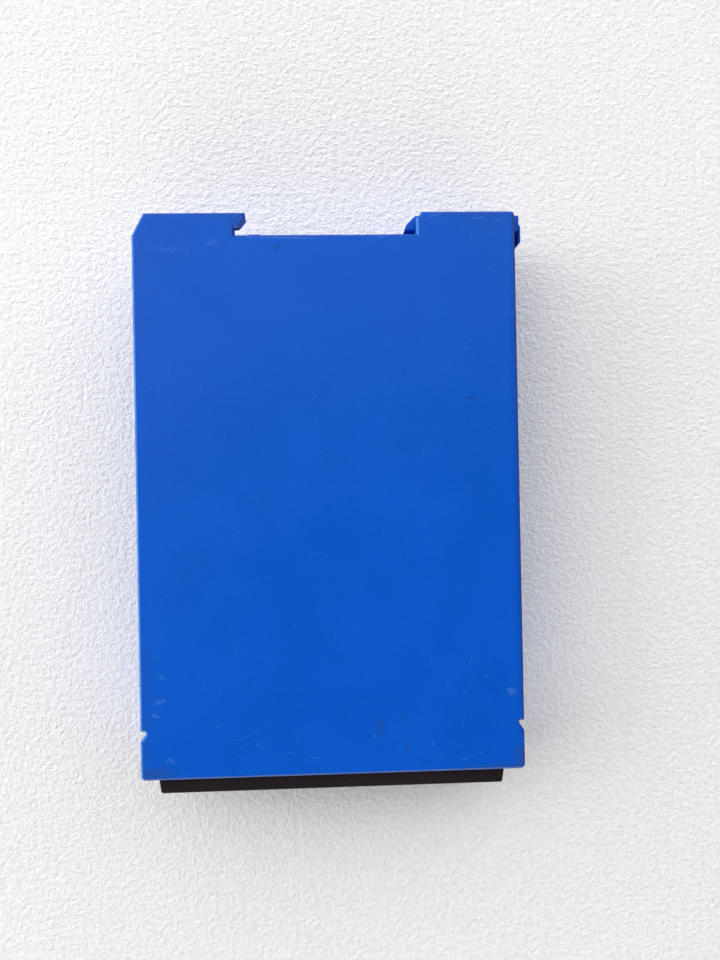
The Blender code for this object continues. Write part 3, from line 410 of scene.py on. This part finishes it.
def clean_group():
    """A node group that joins split corners and shades shallow edges smooth."""
    group = bpy.data.node_groups.new("clean_mesh", "GeometryNodeTree")
    group.interface.new_socket("Geometry", in_out="INPUT", socket_type="NodeSocketGeometry")
    group.interface.new_socket("Geometry", in_out="OUTPUT", socket_type="NodeSocketGeometry")
    entry = group.nodes.new("NodeGroupInput")
    leave = group.nodes.new("NodeGroupOutput")
    merge = group.nodes.new("GeometryNodeMergeByDistance")
    merge.inputs["Distance"].default_value = MERGE_DISTANCE
    forget = group.nodes.new("GeometryNodeRemoveAttribute")
    forget.inputs["Name"].default_value = "custom_normal"
    faces = group.nodes.new("GeometryNodeSetShadeSmooth")
    edges = group.nodes.new("GeometryNodeSetShadeSmooth")
    edges.domain = "EDGE"
    angle = group.nodes.new("GeometryNodeInputMeshEdgeAngle")
    shallow = group.nodes.new("FunctionNodeCompare")
    shallow.operation = "LESS_THAN"
    shallow.inputs["B"].default_value = SHARP_ANGLE
    links = group.links
    links.new(entry.outputs[0], merge.inputs["Geometry"])
    links.new(merge.outputs["Geometry"], forget.inputs["Geometry"])
    links.new(forget.outputs["Geometry"], faces.inputs["Geometry"])
    links.new(faces.outputs["Geometry"], edges.inputs["Geometry"])
    links.new(angle.outputs["Unsigned Angle"], shallow.inputs["A"])
    links.new(shallow.outputs["Result"], edges.inputs["Shade Smooth"])
    links.new(edges.outputs["Geometry"], leave.inputs[0])
    return group


def soften(node, group, width):
    """Joins the node's split corners and, given a width, merges flat faces and rounds edges."""
    clean = node.modifiers.new("clean", "NODES")
    clean.node_group = group
    if not width:
        return
    flat = node.modifiers.new("flat", "DECIMATE")
    flat.decimate_type = "DISSOLVE"
    flat.angle_limit = FLAT_ANGLE
    edge = node.modifiers.new("edge", "BEVEL")
    edge.width = width
    edge.segments = ROUNDING_SEGMENTS
    edge.limit_method = "ANGLE"
    edge.angle_limit = SHARP_ANGLE
    edge.use_clamp_overlap = True
    even = node.modifiers.new("even", "WEIGHTED_NORMAL")
    even.keep_sharp = True


def finish_nodes(finishes, group):
    """Gives each named node its material and its edge rounding."""
    for material, width, names in finishes:
        for name in names:
            node = nodes[name]
            node.data.materials.clear()
            node.data.materials.append(material)
            soften(node, group, width)


def numbered(stem, count):
    return [f"{stem}_{index + 1}" for index in range(count)]


def cover_marks():
    """Grime, rubs and stains, and a strip of painted shade along the right edge: centre, half size,
    turn, raggedness, colour and strength of each.
    """
    def at(x, y):
        """A point on the cover's face."""
        return (x, y, FACE_Z)

    left, front = LOW.x, LOW.y
    right, rear = HIGH.x, HIGH.y
    dim = (0.004, 0.062, 0.36)
    # colour of the painted shade strip along the right edge
    shade = (0.0004, 0.050, 0.34)
    grey = (0.012, 0.070, 0.33)
    brown = (0.022, 0.056, 0.16)
    soot = (0.012, 0.030, 0.12)
    chalk = (0.13, 0.30, 0.66)
    return [
        (at(-0.0095, 0.0480), (0.0010, 0.0007), 0.3, 0.4, soot, 0.45),
        (at(-0.0205, 0.0347), (0.0005, 0.0004), 0.0, 0.3, soot, 0.40),
        (at(0.0280, 0.0182), (0.0011, 0.00035), -0.2, 0.3, soot, 0.70),
        (at(0.0154, 0.0337), (0.0070, 0.0050), 0.4, 0.8, dim, 0.22),
        (at(0.0090, -0.0457), (0.0009, 0.0018), 0.1, 0.7, brown, 0.55),
        (at(0.0138, -0.0444), (0.0006, 0.0008), 0.0, 0.8, soot, 0.40),
        (at(0.0142, -0.0497), (0.0005, 0.0022), 0.0, 0.9, brown, 0.45),
        (at(0.0175, -0.0530), (0.0015, 0.0010), 0.0, 0.9, soot, 0.25),
        (at(0.0353, -0.0395), (0.0011, 0.0009), 0.5, 1.1, chalk, 0.44),
        (at(0.0360, -0.0390), (0.0014, 0.0016), 0.5, 1.0, grey, 0.45),
        (at(left + 0.0008, front + 0.0150), (0.0022, 0.0200), 0.0, 0.6, grey, 0.42),
        (at(left + 0.0030, front + 0.0015), (0.0040, 0.0016), 0.0, 0.8, brown, 0.60),
        (at(right - 0.0010, front + 0.0020), (0.0016, 0.0036), 0.0, 0.8, brown, 0.60),
        (at(right - 0.0060, front + 0.0006), (0.0080, 0.0009), 0.0, 0.7, brown, 0.45),
        (at(left + 0.0015, rear - 0.0150), (0.0015, 0.0180), 0.0, 0.7, grey, 0.25),
        # painted shade: a dark strip along the cover's right edge, where the rim faces away from the
        # light
        (at(right - 0.0003, 0.0), (0.0014, 0.0700), 0.0, 0.2, shade, 0.55),
        (at(-0.0205, 0.0546), (0.0075, 0.0010), 0.0, 0.7, brown, 0.35),
        (at(-0.0170, 0.0535), (0.0022, 0.0016), 0.3, 0.7, soot, 0.35),
        (at(0.0300, 0.0545), (0.0090, 0.0010), 0.0, 0.7, brown, 0.30),
        (at(0.0330, 0.0522), (0.0040, 0.0012), -0.1, 0.9, grey, 0.50),
        (at(-0.0075, 0.0499), (0.0075, 0.00022), -0.02, 0.9, chalk, 0.36),
        (at(-0.0145, 0.0502), (0.0010, 0.0003), -0.1, 0.9, chalk, 0.42),
        (at(-0.0040, 0.0504), (0.0080, 0.00030), 0.0, 0.4, dim, 0.80),
        (at(0.0110, 0.0500), (0.0012, 0.0003), 0.0, 0.7, chalk, 0.24),
        (at(0.0215, 0.0541), (0.0019, 0.00022), 0.15, 0.9, chalk, 0.27),
        (at(0.0300, 0.0536), (0.0019, 0.00022), 0.0, 0.9, chalk, 0.30),
        (at(0.0345, 0.0530), (0.0014, 0.00020), -0.35, 0.9, chalk, 0.27),
        (at(-0.0218, 0.0491), (0.0014, 0.0006), 0.2, 0.9, chalk, 0.24),
        (at(-0.0305, 0.0478), (0.0040, 0.0008), -0.1, 1.0, chalk, 0.13),
        (at(-0.0162, -0.0365), (0.00012, 0.0030), 0.25, 0.3, soot, 0.35),
        (at(-0.0140, -0.0425), (0.00012, 0.0028), 0.75, 0.3, soot, 0.35),
        (at(0.0079, -0.0476), (0.00015, 0.0007), -0.1, 0.9, chalk, 0.36),
        (at(0.0193, -0.0495), (0.00015, 0.0008), 0.1, 0.9, chalk, 0.33),
        (at(0.0255, -0.0527), (0.0009, 0.00015), 0.2, 0.9, chalk, 0.33),
        (at(0.0286, -0.0515), (0.0007, 0.00015), 0.4, 0.9, chalk, 0.33),
        (at(-0.0222, -0.0450), (0.0010, 0.00012), -0.7, 0.9, chalk, 0.27),
        (at(-0.0145, -0.0488), (0.0009, 0.00012), -0.4, 0.9, chalk, 0.27),
        (at(-0.0087, -0.0503), (0.0010, 0.00014), -0.1, 0.9, chalk, 0.27),
        (at(-0.0039, -0.0514), (0.0016, 0.00014), -0.2, 0.9, chalk, 0.27),
        (at(-0.0336, -0.0398), (0.0012, 0.0005), 0.3, 1.2, chalk, 0.40),
        (at(-0.0344, -0.0424), (0.0008, 0.0004), -0.3, 1.2, chalk, 0.40),
        (at(-0.0330, -0.0350), (0.0006, 0.0005), 0.3, 1.2, chalk, 0.32),
        (at(-0.0318, -0.0510), (0.0010, 0.0006), -0.3, 1.2, chalk, 0.32),
        (at(0.0300, -0.0366), (0.00020, 0.00020), 0.0, 0.2, chalk, 0.42),
        (at(0.0229, -0.0380), (0.0008, 0.00012), -0.3, 0.9, chalk, 0.27),
        (at(0.0272, -0.0330), (0.00020, 0.0007), 0.1, 0.9, chalk, 0.24),
    ]


def dress():
    group = clean_group()
    plastic = (BLUE, BLUE_ROUGHNESS, BLUE_SPECULAR)
    blue = moulded("blue_housing", *plastic, wear=0.6)
    cover = moulded("blue_cover", *plastic, marks=cover_marks(), rims=COVER_RIM_LIGHT_AND_SHADE)
    black = moulded("black_front", (0.012, 0.0075, 0.0105), 0.46, 0.22, wear=0.3)
    dark = moulded("dark_moulding", (0.018, 0.018, 0.019), 0.5, wear=0.2)
    green = moulded("green_terminal", (0.02, 0.21, 0.075), 0.42, wear=0.3)
    grey = moulded("grey_button", (0.30, 0.31, 0.32), 0.42, wear=0.4)
    white = moulded("white_moulding", (0.74, 0.74, 0.71), 0.48, wear=0.3)
    wrap = moulded("cell_sleeve", (0.02, 0.30, 0.27), 0.3, 0.5, grain=0.08, wear=0.2)
    red = moulded("red_wire", (0.52, 0.02, 0.02), 0.4, 0.5, grain=0.1, wear=0.2)
    yellow = moulded("yellow_wire", (0.72, 0.50, 0.03), 0.4, 0.5, grain=0.1, wear=0.2)
    steel = metal("zinc_steel", (0.56, 0.56, 0.57), 0.28, (1, 0, 0))
    nickel = metal("nickel_plate", (0.62, 0.60, 0.56), 0.26, (0, 1, 0))
    can = metal("aluminium_can", (0.72, 0.72, 0.73), 0.25)
    sheet = paper("fish_paper", (0.60, 0.53, 0.36))
    board = laminate("board", (0.012, 0.13, 0.05))
    pipe = clear("light_pipe", (0.85, 0.88, 0.88), 0.75, 0.12)
    fuse = clear("fuse_amber", (0.85, 0.33, 0.05), 0.35, 0.15)
    lamp_green = clear("green_lens", (0.10, 0.55, 0.18), 0.3, 0.15)
    lamp_amber = clear("amber_lens", (0.85, 0.42, 0.06), 0.3, 0.15)
    finish_nodes([
        (blue, HOUSING_EDGE, ["case_body", "din_foot"]),
        (cover, HOUSING_EDGE, ["side_cover"]),
        (black, HOUSING_EDGE, ["front_panel"]),
        (dark, SMALL_EDGE, ["cell_frame_left", "cell_frame_right", "button_switch"]),
        (dark, SMALL_EDGE, ["fuse_socket", "switch_body"] + numbered("transistor", 2)),
        (dark, SMALL_EDGE, ["inductor", "controller_chip", "thermistor"]),
        (dark, 0.0, ["negative_lead"]),
        (green, HOUSING_EDGE, ["plug_header", "terminal_plug"]),
        (grey, BUTTON_EDGE, ["test_button"]),
        (white, SMALL_EDGE, ["marking_strip", "switch_slider", "balance_connector"]),
        (wrap, 0.0, numbered("cell", 4)),
        (red, 0.0, ["positive_lead"]),
        (yellow, 0.0, numbered("balance_lead", 2)),
        (steel, SCREW_EDGE, numbered("terminal_screw", 4)),
        (nickel, LEAF_EDGE, ["tab_plus", "tab_minus", "fuse_element"] + numbered("tab_link", 3)),
        (nickel, LEAF_EDGE, numbered("header_pin", 4) + numbered("wire_clamp", 4)),
        (can, CAN_EDGE, numbered("capacitor", 2)),
        (sheet, 0.0, ["insulator_left", "insulator_right"]),
        (board, SMALL_EDGE, ["main_board"]),
        (pipe, SMALL_EDGE, numbered("light_pipe", 2)),
        (fuse, FUSE_EDGE, ["fuse_body"]),
        (lamp_green, SMALL_EDGE, ["led_1"]),
        (lamp_amber, SMALL_EDGE, ["led_2"]),
    ], group)
    make_spring(steel, group)


def make_spring(material, group):
    """The foot's spring, as a coil with its own mesh and material, fixed to the case in place of the
    part.
    """
    coil = bpy.data.objects.new("spring_coil", nodes["foot_spring"].data.copy())
    bpy.context.scene.collection.objects.link(coil)
    coil.data.materials.clear()
    coil.data.materials.append(material)
    soften(coil, group, 0.0)
    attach(coil, "case")
    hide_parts("foot_spring")
    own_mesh(coil)


def make_camera():
    forward = (CAMERA_AIM - CAMERA_PLACE).normalized()
    right = forward.cross(CAMERA_UP).normalized()
    up = right.cross(forward)
    turn = Matrix((right, up, -forward)).transposed().to_4x4()
    data = bpy.data.cameras.new("camera")
    data.lens = LENS_MM
    data.sensor_width = SENSOR_MM
    data.clip_start = CLIP_START
    camera = bpy.data.objects.new("camera", data)
    camera.matrix_world = Matrix.Translation(CAMERA_PLACE) @ turn
    bpy.context.scene.collection.objects.link(camera)
    bpy.context.scene.camera = camera


def make_floor():
    """A plain pale floor with a faint pebbled skin, and painted shade in the pebbles' hollows."""
    material = bpy.data.materials.new("floor")
    tree, shader = build_tree(material)
    white, pale, hollow_shade = (0.85, 0.845, 0.84, 1), (0.82, 0.815, 0.81, 1), (0.76, 0.755, 0.75, 1)
    pebble = noise(tree, place_on_object(tree), PEBBLE_SCALE, 3.0, 0.7)
    cloud = noise(tree, place_on_object(tree), 9.0, 2.0)
    tone = blend_colour(tree, ramp(tree, cloud, 0.3, 0.7), pale, white)
    # painted shade: the pebbles' low spots, which the bump also sinks, are darkened
    tone = blend_colour(tree, ramp(tree, pebble, 0.60, 0.40, 0.0, 0.6), tone, hollow_shade)
    tree.links.new(tone, shader.inputs["Base Color"])
    shader.inputs["Roughness"].default_value = 0.45
    add_bump(tree, shader, pebble, 0.8, PEBBLE_DEPTH)
    mesh = bpy.data.meshes.new("floor")
    corners = [(FLOOR_HALF * x, FLOOR_HALF * y, 0) for x, y in ((-1, -1), (1, -1), (1, 1), (-1, 1))]
    mesh.from_pydata(corners, [], [(0, 1, 2, 3)])
    mesh.materials.append(material)
    floor = bpy.data.objects.new("floor", mesh)
    floor.location.z = FLOOR_Z
    bpy.context.scene.collection.objects.link(floor)


def make_window(name, place, power):
    """A soft rectangular light that faces the object."""
    data = bpy.data.lights.new(name, "AREA")
    data.shape = "RECTANGLE"
    data.size, data.size_y = WINDOW_SIZE
    data.energy = power
    window = bpy.data.objects.new(name, data)
    turn = (-Vector(place)).to_track_quat("-Z", "Y").to_matrix().to_4x4()
    window.matrix_world = Matrix.Translation(place) @ turn
    bpy.context.scene.collection.objects.link(window)


def make_light():
    """A bright room that is dark overhead, with three soft windows on the left."""
    world = bpy.data.worlds.new("room")
    bpy.context.scene.world = world
    world.use_nodes = True
    tree = world.node_tree
    tree.nodes.clear()
    sky = tree.nodes.new("ShaderNodeTexCoord")
    parts = tree.nodes.new("ShaderNodeSeparateXYZ")
    tree.links.new(sky.outputs["Generated"], parts.inputs[0])
    lean = maths(tree, "MULTIPLY", parts.outputs["Y"], REAR_LEAN)
    overhead = maths(tree, "SUBTRACT", parts.outputs["Z"], lean)
    walls = ramp(tree, overhead, *WALL_SPAN, OVERHEAD_STRENGTH, WALL_STRENGTH)
    rear = ramp(tree, parts.outputs["Y"], *REAR_SPAN, 0.0, REAR_STRENGTH)
    front = ramp(tree, parts.outputs["Y"], *FRONT_SPAN, 0.0, FRONT_STRENGTH)
    ends = maths(tree, "ADD", rear, front)
    background = tree.nodes.new("ShaderNodeBackground")
    background.inputs["Color"].default_value = ROOM_COLOUR
    tree.links.new(maths(tree, "ADD", walls, ends), background.inputs["Strength"])
    output = tree.nodes.new("ShaderNodeOutputWorld")
    tree.links.new(background.outputs[0], output.inputs["Surface"])
    for index, (place, power) in enumerate(WINDOWS):
        make_window(f"window_{index + 1}", place, power)


def set_view():
    scene = bpy.context.scene
    scene.view_settings.view_transform = "Standard"
    scene.view_settings.look = "None"


make_camera()
make_floor()
make_light()
set_view()
dress()
